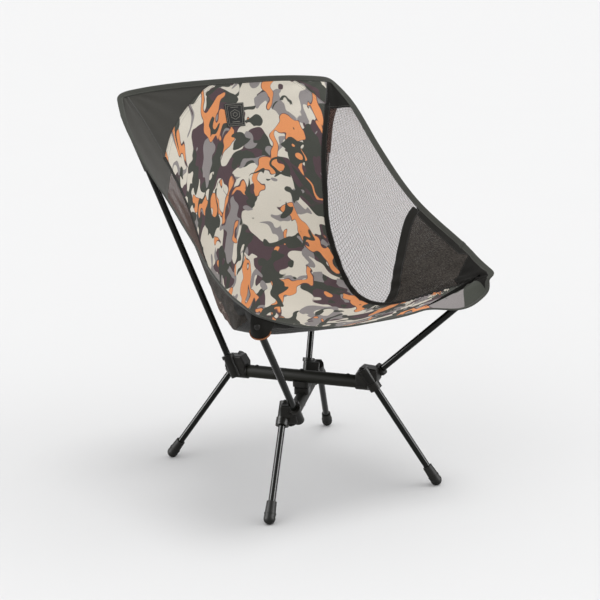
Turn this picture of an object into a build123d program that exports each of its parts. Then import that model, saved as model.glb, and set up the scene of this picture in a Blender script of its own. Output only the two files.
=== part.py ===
from build123d import *
import math
import os

# Ultralight backpacking chair, in millimetres. It faces -Y, +Z is up, and the origin is on the floor
# under the pivot where the two crossbars meet. Left and right are the seated person's.

# frame
POLE_R = 5.75
POLE_WALL = 0.9
CORD_R = 1.5
FIT = 0.05                 # radial running clearance
GAP = 0.3                  # between pieces of different bodies
BAR_R = 11.0
BAR_WALL = 1.5
BAR_ANGLE = 39.0           # of each crossbar, either side of +Y
BAR_Z = 175.3              # upper crossbar's axis
BAR_DROP = 36.3            # lower crossbar below the upper one
BAR_END = 107.0            # half length of a crossbar
HUB_REACH = 126.0          # pivot to hub centre
HUB_Z = 185.2              # upper hubs' centre
HUB_FACE = 100.0           # where a hub's sleeve starts on the bar
HUB_WIDTH = 27.0           # of its block, whose outline is in (outward, upward) from the hub's centre
HUB_OUTLINE = [(-25, -16), (-25, 6), (-17, 19), (13, 17), (14, -2), (6, -15)]
SOCKET_SIDE = 9.75         # each leg socket's axis to the bar's axis, sideways
UP_SIDE = 11.25            # the same for an upright's socket
SOCKET_R = 9.25
COLLAR_R = 11.0
SOCKET_OUT = 21.0          # hub centre to socket mouth
SOCKET_IN = 15.0           # hub centre to the blind end of a pole
RIVET_REACH = 84.0
SPIGOT_R = 9.45
SPIGOT_END = 74.0

# poles and feet
FOOT_R = 9.6
FOOT_Z = 9.2
BOOT_R = 8.1               # at its mouth
BOOT_LENGTH = 28.0
FRONT_FOOT = (160.0, -172.0)
REAR_FOOT = (161.5, 196.0)
FRONT_TIP = (201.5, -229.0, 346.0)
REAR_TIP = (206.3, 237.6, 620.0)
REAR_JOINT = 0.48          # where the rear uprights part, as a share of their length
FERRULE_HALF = 32.0
TIP_R = 6.1
TIP_LENGTH = 9.0

# fabric
SHEET = 1.0                # half thickness of a panel's solid
PANEL_BAND = (-SHEET, SHEET)
TAPE_BAND = (SHEET + 1.8, SHEET + 2.6)
BINDING_BAND = (-2.2, 2.2)
BINDING = 5.0              # how far the binding stands out past the panels
SEAM_GAP = 0.012           # panel edge to seam line, across the seat
V_GAP = 0.003              # the same, along the seat
REAR_GUSSET = {"left": 0.11, "right": 0.26}  # along the seat: where the rear gussets end
FRONT_GUSSET = (0.945, 0.82)   # where the front gussets start, at the seam and at the rim
MESH_SPLIT = (0.75, 0.465)     # where the coarse mesh meets the fine mesh, at the seam and at the rim
RIGHT_CORNER = (0.15, 0.20)  # a corner panel's reach: across the top edge from u, down the seam to v
LEFT_CORNER = (0.60, 0.10)
PATCH = (0.105, 0.080, 0.146)  # half width, top and bottom
FRONT_POCKET = (22.0, 7.8, 9.3, 7.3)    # below the tip, past the tip, radius at the mouth and at the end
REAR_POCKET = (106.0, 8.5, 9.5, 7.3)
TRIM = 4.0

# the seat's surface, rear to front: centre line, seam and rim of the left half, and how late the sling
# rises from its centre line to the seam
STATIONS = [
    ((0, 238, 661), (200, 242, 651), (211, 243, 647), 3),
    ((0, 227, 604), (179, 214, 604), (223, 190, 606), 2),
    ((0, 208, 530), (151, 180, 530), (222, 110, 543), 2),
    ((0, 184, 462), (134, 148, 462), (218, 34, 493), 2),
    ((0, 153, 390), (124, 117, 388), (218, -26, 458), 2),
    ((0, 93, 306), (127, 62, 310), (222, -78, 433), 2),
    ((0, 30, 271), (133, 6, 286), (226, -122, 414), 2),
    ((0, -40, 269), (151, -54, 292), (227, -160, 399), 3),
    ((0, -126, 291), (180, -132, 323), (224, -202, 383), 2.5),
    ((0, -221, 318), (208, -239, 365), (219, -245, 372), 2.3),
]
WING_BULGE = 1.0

CORNERS = {
    "front_left": (1, -1, 0.0),
    "rear_right": (-1, 1, 0.0),
    "front_right": (-1, -1, BAR_DROP),
    "rear_left": (1, 1, BAR_DROP),
}


def rod(start, end, radius):
    start, end = Vector(*start), Vector(*end)
    along = end - start
    plane = Plane(origin=start, z_dir=along)
    return plane * Cylinder(radius, along.length, align=(Align.CENTER, Align.CENTER, Align.MIN))


def tube(start, end, radius, wall):
    along = (end - start).normalized()
    return rod(start, end, radius) - rod(start - along, end + along, radius - wall)


def save(node, *solids):
    solids = [s for item in solids for s in item.solids()]
    shape = solids[0] if len(solids) == 1 else Compound(children=solids)
    shape.label = node
    export_step(shape, f"parts/{node}.step")


class Corner:
    """Where one hub, its leg and its upright stand."""

    def __init__(self, name):
        self.name = name
        sx, sy, self.drop = CORNERS[name]
        a = math.radians(BAR_ANGLE)
        self.out = Vector(sx * math.sin(a), sy * math.cos(a), 0)
        self.side = Vector(self.out.Y, -self.out.X, 0)
        self.hub = self.out * HUB_REACH + Vector(0, 0, HUB_Z - self.drop)
        self.bar = Vector(0, 0, BAR_Z - self.drop)
        front = sy < 0
        x, y = FRONT_FOOT if front else REAR_FOOT
        self.foot = Vector(sx * x, y, FOOT_Z)
        x, y, z = FRONT_TIP if front else REAR_TIP
        self.tip = Vector(sx * x, y, z)
        self.leg_hub = self.hub + self.side * SOCKET_SIDE
        self.leg_dir = (self.foot - self.leg_hub).normalized()
        self.up_hub = self.hub - self.side * UP_SIDE
        self.up_dir = (self.tip - self.up_hub).normalized()


def socket(centre, along, collar):
    """A blind tube with a collar at its mouth and a closed end."""
    mouth = centre + along * SOCKET_OUT
    body = rod(centre - along * (SOCKET_IN + 5), mouth, SOCKET_R)
    return body + rod(mouth - along * collar, mouth, COLLAR_R)


def hub(c):
    """Moulded block with a spigot and sleeve for the crossbar, and two sockets side by side."""
    face = c.bar + c.out * HUB_FACE
    outline = Plane(origin=c.hub, x_dir=c.out, z_dir=c.side) * Polygon(*HUB_OUTLINE, align=None)
    block = extrude(outline, HUB_WIDTH / 2, both=True)
    body = rod(face, c.bar + c.out * 122, BAR_R + 2.2) + fillet(block.edges(), 3)
    body += socket(c.leg_hub, c.leg_dir, 13)
    body += socket(c.up_hub, c.up_dir, 6)
    top = c.leg_hub - c.leg_dir * (SOCKET_IN + 5)
    body -= rod(top, top + c.leg_dir * 2, 4)
    body -= rod(face - c.out, c.bar + c.out * (BAR_END + FIT), BAR_R + FIT)
    body += rod(c.bar + c.out * SPIGOT_END, c.bar + c.out * (BAR_END + 1), SPIGOT_R)
    for centre, along in ((c.leg_hub, c.leg_dir), (c.up_hub, c.up_dir)):
        body -= rod(centre - along * SOCKET_IN, centre + along * (SOCKET_OUT + 5), POLE_R + FIT)
    rivet = c.bar + c.out * RIVET_REACH
    return body - rod(rivet, rivet + Vector(0, 0, BAR_R), 1.6 + FIT)


def crossbar(ends):
    """Tube with its pivot holes and the hub rivets' holes."""
    a, b = ends
    bar = tube(a.bar + a.out * BAR_END, b.bar + b.out * BAR_END, BAR_R, BAR_WALL)
    bar -= rod(a.bar - Vector(0, 0, BAR_R + 1), a.bar + Vector(0, 0, BAR_R + 1), 3 + FIT)
    for c in ends:
        rivet = c.bar + c.out * RIVET_REACH
        bar -= rod(rivet, rivet + Vector(0, 0, BAR_R + 1), 1.6 + FIT)
    return bar


def bar_rivets(ends):
    """Domed blind rivets that hold the hubs' spigots."""
    found = []
    for c in ends:
        base = c.bar + c.out * RIVET_REACH
        top = base + Vector(0, 0, BAR_R + 0.1)
        head = Pos(top - Vector(0, 0, 3)) * Sphere(4.6) & rod(top, top + Vector(0, 0, 3), 5)
        found.append(rod(base + Vector(0, 0, 3), top + Vector(0, 0, 0.5), 1.6) + head)
    return found


def saddle(c, top, bottom, trough):
    """Moulded block between the crossbars, hollowed to sit on one of them."""
    middle = Plane(origin=(0, 0, (top + bottom) / 2), x_dir=c.out, z_dir=(0, 0, 1))
    block = fillet((middle * Box(28, 25, top - bottom)).edges().filter_by(Axis.Z), 5)
    bar = rod(trough - c.out * 40, trough + c.out * 40, BAR_R + FIT)
    return block - bar - rod((0, 0, bottom - 1), (0, 0, top + 1), 3 + FIT)


def boot(c):
    """Tapered rubber foot with a rib, a domed end and a small flat to stand on."""
    back = -c.leg_dir
    base = Plane(origin=c.foot, z_dir=back)
    cone = Cone(FOOT_R - 0.2, BOOT_R, BOOT_LENGTH, align=(Align.CENTER, Align.CENTER, Align.MIN))
    body = Pos(c.foot) * Sphere(FOOT_R) + base * cone
    body += rod(c.foot + back * 7, c.foot + back * 9, FOOT_R + 0.1)
    body -= rod(c.foot, c.foot + back * (BOOT_LENGTH + 1), POLE_R + FIT)
    return body & Pos(0, 0, 60) * Box(600, 600, 120)


def tip_cap(c):
    """Domed plug at a pole's end, with a stem inside the tube."""
    end = c.tip
    dome = Pos(end) * Sphere(TIP_R) & rod(end, end + c.up_dir * TIP_R, TIP_R + 1)
    cap = dome + rod(end - c.up_dir * 4, end, TIP_R)
    stem = rod(end - c.up_dir * (4 + TIP_LENGTH), end, POLE_R - POLE_WALL - FIT)
    return cap + stem


def along_curve(points, t):
    """A point of a Catmull-Rom curve, which runs straight on past its ends."""
    last = len(points) - 1
    if t < 0 or t > last:
        edge, inner = (points[0], points[1]) if t < 0 else (points[last], points[last - 1])
        over = -t if t < 0 else t - last
        return edge + (edge - inner) * over
    i = min(int(t), last - 1)
    f = t - i
    p = [points[min(max(k, 0), last)] for k in range(i - 1, i + 3)]
    a = p[1] * 2
    b = p[2] - p[0]
    c = p[0] * 2 - p[1] * 5 + p[2] * 4 - p[3]
    d = (p[1] - p[2]) * 3 + p[3] - p[0]
    return (a + b * f + c * (f * f) + d * (f * f * f)) * 0.5


CENTRE = [Vector(*s[0]) for s in STATIONS]
SEAM = [Vector(*s[1]) for s in STATIONS]
RIM = [Vector(*s[2]) for s in STATIONS]
RISE = [Vector(s[3], 0, 0) for s in STATIONS]
LAST = len(STATIONS) - 1


def surface(u, v):
    """A point of the seat: u is 0 at the centre, 1 at the left seam and 2 at the left rim, and
    negative on the right; v is 0 at the rear edge and 1 at the front."""
    side, u, t = (-1 if u < 0 else 1), abs(u), v * LAST
    seam = along_curve(SEAM, t)
    if u <= 1:
        middle = along_curve(CENTRE, t)
        share = u ** along_curve(RISE, t).X
        p = Vector(seam.X * u, middle.Y + (seam.Y - middle.Y) * share, middle.Z + (seam.Z - middle.Z) * share)
    else:
        rim = along_curve(RIM, t)
        w = u - 1
        across = rim - seam
        out = Vector(across.Z + abs(across.Y), 0, -across.X).normalized()
        p = seam + across * w + out * (WING_BULGE * 4 * w * (1 - w) * math.sin(math.pi * min(max(v, 0), 1)))
    return Vector(side * p.X, p.Y, p.Z)


def normal(u, v):
    """Unit normal on the side that a person sits on."""
    d = 0.004
    across = surface(u + d, v) - surface(u - d, v)
    along = surface(u, v + d) - surface(u, v - d)
    return along.cross(across).normalized()


def panel(place, band, across, along):
    """Closed solid over the seat's surface. place turns two numbers from 0 to 1 into (u, v)."""
    low, high = band
    grid = {}
    for i in range(across + 1):
        for j in range(along + 1):
            u, v = place(i / across, j / along)
            point, up = surface(u, v), normal(u, v)
            grid[i, j, 0] = point + up * low
            grid[i, j, 1] = point + up * high
    faces = []

    def quad(a, b, c, d):
        for corners in ((a, b, c), (a, c, d)):
            faces.append(Face(Wire.make_polygon([grid[k] for k in corners], close=True)))

    for i in range(across):
        for j in range(along):
            quad((i, j, 0), (i + 1, j, 0), (i + 1, j + 1, 0), (i, j + 1, 0))
            quad((i, j, 1), (i, j + 1, 1), (i + 1, j + 1, 1), (i + 1, j, 1))
    for i in range(across):
        quad((i, 0, 0), (i, 0, 1), (i + 1, 0, 1), (i + 1, 0, 0))
        quad((i, along, 0), (i + 1, along, 0), (i + 1, along, 1), (i, along, 1))
    for j in range(along):
        quad((0, j, 0), (0, j + 1, 0), (0, j + 1, 1), (0, j, 1))
        quad((across, j, 0), (across, j, 1), (across, j + 1, 1), (across, j + 1, 0))
    return Solid(Shell(faces))


def box_of(u0, u1, v0, v1):
    """The region between two lines across and two lines along the seat."""
    return lambda a, b: (u0 + (u1 - u0) * a, v0 + (v1 - v0) * b)


def pocket(c, start, end, r0, r1):
    """Sewn sleeve round a pole's end, tapered, with a closed top."""
    a, b = c.tip - c.up_dir * start, c.tip + c.up_dir * end
    length = (b - a).length
    outer = Plane(origin=a, z_dir=c.up_dir) * Cone(r0, r1, length, align=(Align.CENTER, Align.CENTER, Align.MIN))
    return outer - rod(a - c.up_dir, b - c.up_dir * 1.5, TIP_R + 0.4)


os.makedirs("parts", exist_ok=True)
corners = {name: Corner(name) for name in CORNERS}
uppers = (corners["front_left"], corners["rear_right"])
lowers = (corners["front_right"], corners["rear_left"])
upper_low = BAR_Z - BAR_R
saddle_split = upper_low - 7

for level, ends in (("upper", uppers), ("lower", lowers)):
    save(f"{level}_crossbar", crossbar(ends))
    save(f"{level}_bar_rivets", *bar_rivets(ends))
save("upper_saddle", saddle(uppers[0], upper_low + 4, saddle_split + 1, uppers[0].bar))
save("lower_saddle", saddle(lowers[0], saddle_split - GAP, BAR_Z - BAR_DROP + BAR_R - 4, lowers[0].bar))
washer = rod((0, 0, saddle_split), (0, 0, saddle_split + 1 - FIT), 9)
save("pivot_washer", washer - rod((0, 0, 0), (0, 0, 300), 3 + FIT))
bolt_low = BAR_Z - BAR_DROP - BAR_R - 6
bolt_top = BAR_Z + BAR_R
head = Pos(0, 0, bolt_top - 5) * Sphere(7.2) & rod((0, 0, bolt_top + FIT), (0, 0, bolt_top + 4), 8)
save("pivot_bolt", rod((0, 0, bolt_low), (0, 0, bolt_top + 0.5), 3) + head)
nut = extrude(Plane.XY.offset(bolt_low + 1) * RegularPolygon(5.5, 6), 5 - GAP)
save("pivot_nut", nut - rod((0, 0, 0), (0, 0, 300), 3 + FIT / 2))

for name, c in corners.items():
    save(f"{name}_hub", hub(c))
    inner = c.leg_hub - c.leg_dir * (SOCKET_IN - 0.5)
    save(f"{name}_leg", tube(inner, c.foot - c.leg_dir * 0.5, POLE_R, POLE_WALL))
    save(f"{name}_foot", boot(c))
    save(f"{name}_leg_cord", rod(inner + c.leg_dir, c.foot - c.leg_dir, CORD_R))
    inner = c.up_hub - c.up_dir * (SOCKET_IN - 0.5)
    end = c.tip - c.up_dir * (4 + FIT)
    save(f"{name}_tip", tip_cap(c))
    save(f"{name}_upright_cord", rod(inner + c.up_dir, end - c.up_dir * (TIP_LENGTH + 1), CORD_R))
    if "front" in name:
        save(f"{name}_upright", tube(inner, end, POLE_R, POLE_WALL))
        continue
    joint = inner + (end - inner) * REAR_JOINT
    ferrule = (joint - c.up_dir * FERRULE_HALF, joint + c.up_dir * FERRULE_HALF)
    save(f"{name}_lower_upright", tube(inner, joint, POLE_R, POLE_WALL))
    save(f"{name}_ferrule", tube(*ferrule, POLE_R - POLE_WALL - FIT, POLE_WALL))
    save(f"{name}_upper_upright", tube(joint + c.up_dir * FIT, end, POLE_R, POLE_WALL))


def top_of_sling(u):
    """Where the sling ends and a corner panel starts."""
    start, depth = RIGHT_CORNER if u < 0 else LEFT_CORNER
    return max(0.0, (abs(u) - start) / (1 - start)) * depth


def sling_place(a, b):
    u = (1 - SEAM_GAP) * (2 * a - 1)
    top = top_of_sling(u)
    return u, top + (1 - top) * b


def corner_place(sign, start):
    def place(a, b):
        u = sign * (start + 0.04 + (1 - SEAM_GAP - start - 0.04) * a)
        return u, (top_of_sling(u) - V_GAP) * b

    return place


def split(u):
    """Where the coarse mesh ends and the fine mesh starts."""
    at_seam, at_rim = MESH_SPLIT
    w = u - 1
    return at_rim + (at_seam - at_rim) * (1 - w) * (1 + 0.95 * w - 1.7 * w * w)


def front_edge(u):
    """Where the fine mesh ends and the front gusset starts."""
    at_seam, at_rim = FRONT_GUSSET
    return at_seam + (at_rim - at_seam) * max(0, u - 1) ** 1.3


def wing_place(sign, start, end):
    """A wing's region from one line across it to another; both are functions of u."""

    def place(a, b):
        u = 1 + SEAM_GAP + (1 - 2 * SEAM_GAP) * a
        low, high = start(u) + V_GAP, end(u) - V_GAP
        return sign * u, low + (high - low) * b

    return place


def rim_place(sign):
    def place(a, b):
        v = 0.025 + 0.965 * b
        across = along_curve(RIM, v * LAST) - along_curve(SEAM, v * LAST)
        return sign * (2 + (GAP + BINDING * a) / across.length), v

    return place


def edge_place(sign, v_edge, reach):
    """The binding past the rear edge or the front edge, on one side."""

    def place(a, b):
        return sign * 2 * a, v_edge + reach * (0.05 + b)

    return place


save("seat_sling", panel(sling_place, PANEL_BAND, 20, 22))
save("right_corner_panel", panel(corner_place(-1, RIGHT_CORNER[0]), PANEL_BAND, 10, 5))
save("left_corner_panel", panel(corner_place(1, LEFT_CORNER[0]), PANEL_BAND, 6, 3))
save("back_patch", panel(box_of(-PATCH[0], PATCH[0], PATCH[1], PATCH[2]), TAPE_BAND, 4, 3))

rear_gussets, front_gussets, seam_tapes, mesh_tapes = [], [], [], []
for side, sign in (("left", 1), ("right", -1)):
    rear = REAR_GUSSET[side]
    coarse = wing_place(sign, lambda u: rear, split)
    fine = wing_place(sign, split, front_edge)
    save(f"{side}_side_mesh", panel(coarse, PANEL_BAND, 6, 12))
    save(f"{side}_front_mesh", panel(fine, PANEL_BAND, 6, 9))
    rear_gussets.append(panel(wing_place(sign, lambda u: 0.022, lambda u: rear), PANEL_BAND, 3, 7))
    front_gussets.append(panel(wing_place(sign, front_edge, lambda u: 1), PANEL_BAND, 5, 4))
    seam_tapes.append(panel(box_of(sign * 0.975, sign * 1.06, 0.02, 0.98), TAPE_BAND, 4, 22))
    tape = wing_place(sign, lambda u: split(u) - 0.013, lambda u: split(u) + 0.013)
    mesh_tapes.append(panel(lambda a, b, tape=tape: tape(0.09 + 0.86 * a, b), TAPE_BAND, 6, 2))
save("rear_gussets", *rear_gussets)
save("front_gussets", *front_gussets)
save("seam_tapes", *seam_tapes)
save("mesh_tapes", *mesh_tapes)

binding = []
for sign in (1, -1):
    binding.append(panel(rim_place(sign), BINDING_BAND, 2, 26))
    binding.append(panel(edge_place(sign, 0, -0.011), BINDING_BAND, 16, 2))
    binding.append(panel(edge_place(sign, 1, 0.007), BINDING_BAND, 16, 2))
save("edge_binding", *binding)

trims = []
for name, c in corners.items():
    front = "front" in name
    save(f"{name}_pocket", pocket(c, *(FRONT_POCKET if front else REAR_POCKET)))
    if front:
        below, _, mouth, _ = FRONT_POCKET
        low = c.tip - c.up_dir * below
        ring = rod(low, low + c.up_dir * TRIM, mouth + 1.2)
        trims.append(ring - rod(low - c.up_dir, low + c.up_dir * (TRIM + 1), mouth + 0.1))
save("front_pocket_trims", *trims)
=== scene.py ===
import math

import bpy
import numpy as np
from mathutils import Matrix, Vector


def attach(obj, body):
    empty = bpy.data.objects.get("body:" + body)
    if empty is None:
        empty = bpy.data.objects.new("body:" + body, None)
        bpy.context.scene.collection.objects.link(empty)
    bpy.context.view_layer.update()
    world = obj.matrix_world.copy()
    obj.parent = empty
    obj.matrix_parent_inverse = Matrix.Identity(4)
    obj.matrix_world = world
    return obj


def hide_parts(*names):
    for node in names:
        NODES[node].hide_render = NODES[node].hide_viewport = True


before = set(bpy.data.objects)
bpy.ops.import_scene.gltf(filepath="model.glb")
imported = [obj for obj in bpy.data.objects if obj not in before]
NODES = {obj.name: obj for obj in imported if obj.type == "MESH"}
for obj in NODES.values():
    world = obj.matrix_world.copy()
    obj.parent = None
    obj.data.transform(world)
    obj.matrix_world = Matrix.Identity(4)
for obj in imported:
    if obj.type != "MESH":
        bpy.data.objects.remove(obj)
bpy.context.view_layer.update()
MM = 0.001

# ---------------------------------------------------------------- camera, floor, light

AZIMUTH, ELEVATION, ROLL = -29.0, 13.9, -1.2
CAMERA_AIM = (0, 0.0016, 0.3094)
CAMERA_DISTANCE = 2.44
LENS, SENSOR = 86.4, 36
# name, energy, spread in degrees, rotation in degrees
SUNS = (
    ("key", 0.78, 22, (9, 0, 60)),
    ("fill", 0.75, 60, (58, 0, 60)),
    ("side", 0.6, 60, (60, 0, -75)),
)
# soft boxes that only show as reflections: name, degrees round the chair, height, tilt, width, length, power
BOXES = (
    ("left_box", -108, 1.9, 78, 2.2, 4.5, 720),
    ("right_box", 46, 1.9, 78, 1.8, 4.5, 520),
)
BOX_DISTANCE = 4
FLOOR_HALF = 60


def add_object(name, data):
    obj = bpy.data.objects.new(name, data)
    bpy.context.scene.collection.objects.link(obj)
    return obj


def make_camera():
    azimuth, elevation, roll = (math.radians(x) for x in (AZIMUTH, ELEVATION, ROLL))
    level = math.cos(elevation)
    back = Vector((math.sin(azimuth) * level, -math.cos(azimuth) * level, math.sin(elevation)))
    right = Vector((math.cos(azimuth), math.sin(azimuth), 0))
    up = back.cross(right)
    x = right * math.cos(roll) + up * math.sin(roll)
    y = up * math.cos(roll) - right * math.sin(roll)
    data = bpy.data.cameras.new("camera")
    data.lens, data.sensor_width = LENS, SENSOR
    data.clip_start, data.clip_end = 0.05, 200
    cam = add_object("camera", data)
    place = Vector(CAMERA_AIM) + back * CAMERA_DISTANCE
    cam.matrix_world = Matrix([(x[k], y[k], back[k], place[k]) for k in range(3)] + [(0, 0, 0, 1)])
    bpy.context.scene.camera = cam


def make_light():
    world = bpy.data.worlds.new("world")
    world.use_nodes = True
    world.node_tree.nodes["Background"].inputs[0].default_value = (0.9, 0.9, 0.905, 1)
    bpy.context.scene.world = world
    for name, energy, spread, turn in SUNS:
        data = bpy.data.lights.new(name, "SUN")
        data.energy, data.angle = energy, math.radians(spread)
        lamp = add_object(name, data)
        lamp.rotation_euler = [math.radians(t) for t in turn]
    for name, around, high, tilt, wide, tall, power in BOXES:
        data = bpy.data.lights.new(name, "AREA")
        data.shape, data.size, data.size_y, data.energy = "RECTANGLE", wide, tall, power
        lamp = add_object(name, data)
        turn = math.radians(around)
        lamp.location = (BOX_DISTANCE * math.sin(turn), -BOX_DISTANCE * math.cos(turn), high)
        lamp.rotation_euler = (math.radians(tilt), 0, turn)
        lamp.visible_diffuse = lamp.visible_camera = False


def make_floor():
    mesh = bpy.data.meshes.new("floor")
    corners = [(x * FLOOR_HALF, y * FLOOR_HALF, 0) for x, y in ((-1, -1), (1, -1), (1, 1), (-1, 1))]
    mesh.from_pydata(corners, [], [(0, 1, 2, 3)])
    mesh.materials.append(floor_material())
    floor = add_object("floor", mesh)


# ---------------------------------------------------------------- materials


class Graph:
    """A material and short ways to add nodes to it."""

    def __init__(self, name, **values):
        self.material = bpy.data.materials.new(name)
        self.material.use_nodes = True
        self.tree = self.material.node_tree
        self.shader = self.tree.nodes["Principled BSDF"]
        self.set(**values)

    def set(self, **values):
        for key, value in values.items():
            self.feed(self.shader.inputs[key.replace("_", " ")], value)

    def feed(self, socket, value):
        if isinstance(value, bpy.types.NodeSocket):
            self.tree.links.new(value, socket)
        elif socket.type == "RGBA" and len(value) == 3:
            socket.default_value = (*value, 1)
        else:
            socket.default_value = value

    def put(self, kind, inputs=(), out=0, **settings):
        node = self.tree.nodes.new("ShaderNode" + kind)
        for key, value in settings.items():
            setattr(node, key, value)
        for key, value in dict(inputs).items():
            self.feed(node.inputs[key], value)
        return node.outputs[out]

    def math(self, operation, *values):
        node = self.tree.nodes.new("ShaderNodeMath")
        node.operation = operation
        for socket, value in zip(node.inputs, values):
            self.feed(socket, value)
        return node.outputs[0]

    def vector(self, operation, a, b):
        second = "Scale" if operation == "SCALE" else 1
        return self.put("VectorMath", {0: a, second: b}, operation=operation)

    def mix(self, share, a, b, blend="MIX"):
        return self.put("Mix", {0: share, 6: a, 7: b}, out=2, data_type="RGBA", blend_type=blend)

    def shaded(self, colour, shade):
        """A colour made darker or lighter by a number about 1."""
        return self.mix(1.0, colour, self.put("CombineColor", {0: shade, 1: shade, 2: shade}), "MULTIPLY")

    def uv(self):
        return self.put("UVMap", uv_map="cloth")

    def object(self):
        return self.put("TexCoord", out=3)

    def part(self, vector, axis):
        return self.put("SeparateXYZ", {0: vector}, out=axis)

    def mapped(self, vector, scale=(1, 1, 1), turn=0.0, shift=(0, 0, 0)):
        return self.put("Mapping", {0: vector, 1: shift, 2: (0, 0, math.radians(turn)), 3: scale})

    def noise(self, vector, scale, detail=2.0, rough=0.5, distortion=0.0, out=0):
        inputs = {"Vector": vector, "Scale": scale, "Detail": detail, "Roughness": rough}
        inputs["Distortion"] = distortion
        return self.put("TexNoise", inputs, out=out)

    def ramp(self, value, low, high, a=0.0, b=1.0):
        return self.put("MapRange", {0: value, 1: low, 2: high, 3: a, 4: b})

    def bump(self, height, distance, strength=1.0, after=None):
        inputs = {"Height": height, "Distance": distance, "Strength": strength}
        if after is not None:
            inputs["Normal"] = after
        return self.put("Bump", inputs)

    def stripes(self, vector, pitch, axis):
        """A smooth wave from 0 to 1 along one axis of a metric map."""
        wave = self.math("SINE", self.math("MULTIPLY", self.part(vector, axis), 2 * math.pi / pitch))
        return self.math("MULTIPLY_ADD", wave, 0.5, 0.5)

    def weave(self, vector, pitch):
        """A plain weave's height: two sets of threads that pass over and under."""
        x, y = (
            self.math("SINE", self.math("MULTIPLY", self.part(vector, axis), math.pi / pitch))
            for axis in (0, 1)
        )
        return self.math("MULTIPLY_ADD", self.math("MULTIPLY", x, y), 0.5, 0.5)


def srgb(r, g, b):
    return tuple((c / 255 / 12.92) if c <= 10 else ((c / 255 + 0.055) / 1.055) ** 2.4 for c in (r, g, b))


def tinted(colour, gain, lift=0):
    return srgb(*[min(255, c * gain + lift) for c in colour])


def finish_cloth(g, colour, pitch, rough=0.86, sheen=0.12, crumple=0.5, wear=0.10):
    """Weave, small creases and faint soiling over a cloth's colour."""
    uv = g.uv()
    weave = g.weave(uv, pitch)
    cloud = g.noise(uv, 9, 3)
    fine = g.noise(uv, 700, 2)
    shade = g.math("MULTIPLY_ADD", weave, 0.16, 0.92)
    shade = g.math("MULTIPLY", shade, g.ramp(cloud, 0.3, 0.7, 1 - wear, 1 + wear * 0.6))
    shade = g.math("MULTIPLY", shade, g.ramp(fine, 0.3, 0.7, 0.93, 1.06))
    g.set(Base_Color=g.shaded(colour, shade), Roughness=g.ramp(cloud, 0.3, 0.7, rough - 0.06, rough + 0.06))
    creases = g.noise(uv, 34, 4, 0.55, 0.4)
    normal = g.bump(creases, 0.004 * crumple, 0.6)
    normal = g.bump(weave, 0.00018, 0.7, normal)
    g.set(Normal=normal)
    g.shader.inputs["Sheen Weight"].default_value = sheen
    g.shader.inputs["Sheen Roughness"].default_value = 0.5
    g.shader.inputs["Specular IOR Level"].default_value = 0.08
    return g.material


def plain_cloth(name, colour, pitch=0.0007, **kw):
    return finish_cloth(Graph(name), srgb(*colour), pitch, **kw)


def camouflage(name):
    """A printed cloth: flat organic shapes with fingers, in layers."""
    g = Graph(name)
    uv = g.uv()
    cream, orange, plum = srgb(205, 199, 186), srgb(216, 142, 92), srgb(82, 66, 70)
    green, grey = srgb(66, 68, 62), srgb(137, 132, 131)
    swirl, finger = 0.05, 0.026

    def layer(turn, shift, long, short):
        """A smooth field whose level lines curl and run out in rounded fingers."""
        at = g.mapped(uv, turn=turn, shift=shift)
        slow = g.noise(at, 13, 0, out=1)
        quick = g.noise(g.mapped(at, scale=(0.8, 1, 1)), 46, 0, out=1)
        push = g.vector("SUBTRACT", slow, (0.5, 0.5, 0.5))
        push = g.vector("SCALE", push, swirl * 2)
        pull = g.vector("SUBTRACT", quick, (0.5, 0.5, 0.5))
        pull = g.vector("MULTIPLY", pull, (finger * 1.7, finger * 2.6, 0))
        moved = g.vector("ADD", g.vector("ADD", at, push), pull)
        return g.noise(g.mapped(moved, scale=(1 / long, 1 / short, 0)), 1.0, 0.5, 0.3)

    def over(field, level, below, colour):
        return g.mix(g.ramp(field, level - 0.004, level + 0.004), below, colour)

    colour = over(layer(5, (0.4, 2.2, 0), 0.095, 0.050), 0.50, green, plum)
    colour = over(layer(-8, (1.3, 0.2, 0), 0.120, 0.062), 0.503, colour, cream)
    colour = over(layer(18, (2.7, 4.2, 0), 0.080, 0.038), 0.595, colour, grey)
    bright = layer(48, (7.9, 3.1, 0), 0.060, 0.048)
    colour = over(bright, 0.588, colour, plum)
    colour = over(bright, 0.606, colour, orange)
    colour = over(layer(30, (5.3, 0.9, 0), 0.060, 0.030), 0.635, colour, green)
    return finish_cloth(g, colour, 0.0006, rough=0.82, sheen=0.08, crumple=0.45, wear=0.05)


def netting(name, colour, sizes, speckle=0.0, soft=0.00004, least=0.0):
    """Knitted mesh, open between its threads; sizes are threads' pitches, widths and covering shares."""
    g = Graph(name, Roughness=0.8)
    uv = g.uv()
    threads = least
    for pitch, width, share in sizes:
        for axis in (0, 1):
            wave = g.math("PINGPONG", g.part(uv, axis), pitch / 2)
            line = g.ramp(wave, width / 2 - soft, width / 2 + soft, 1, 0)
            threads = g.math("MAXIMUM", threads, g.math("MULTIPLY", line, share))
    uneven = g.noise(uv, 60, 2)
    grain = g.noise(g.mapped(uv, turn=20, scale=(1, 0.4, 1)), 620, 2, 0.6, 0.8)
    shade = g.ramp(uneven, 0.3, 0.7, 0.88, 1.08)
    shade = g.math("MULTIPLY", shade, g.ramp(grain, 0.35, 0.65, 1 - speckle, 1 + speckle))
    g.set(Base_Color=g.shaded(srgb(*colour), shade))
    g.shader.inputs["Specular IOR Level"].default_value = 0.06
    mixed = g.put("MixShader", {0: threads, 1: g.put("BsdfTransparent"), 2: g.shader.outputs[0]})
    g.feed(g.tree.nodes["Material Output"].inputs[0], mixed)
    return g.material


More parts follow.
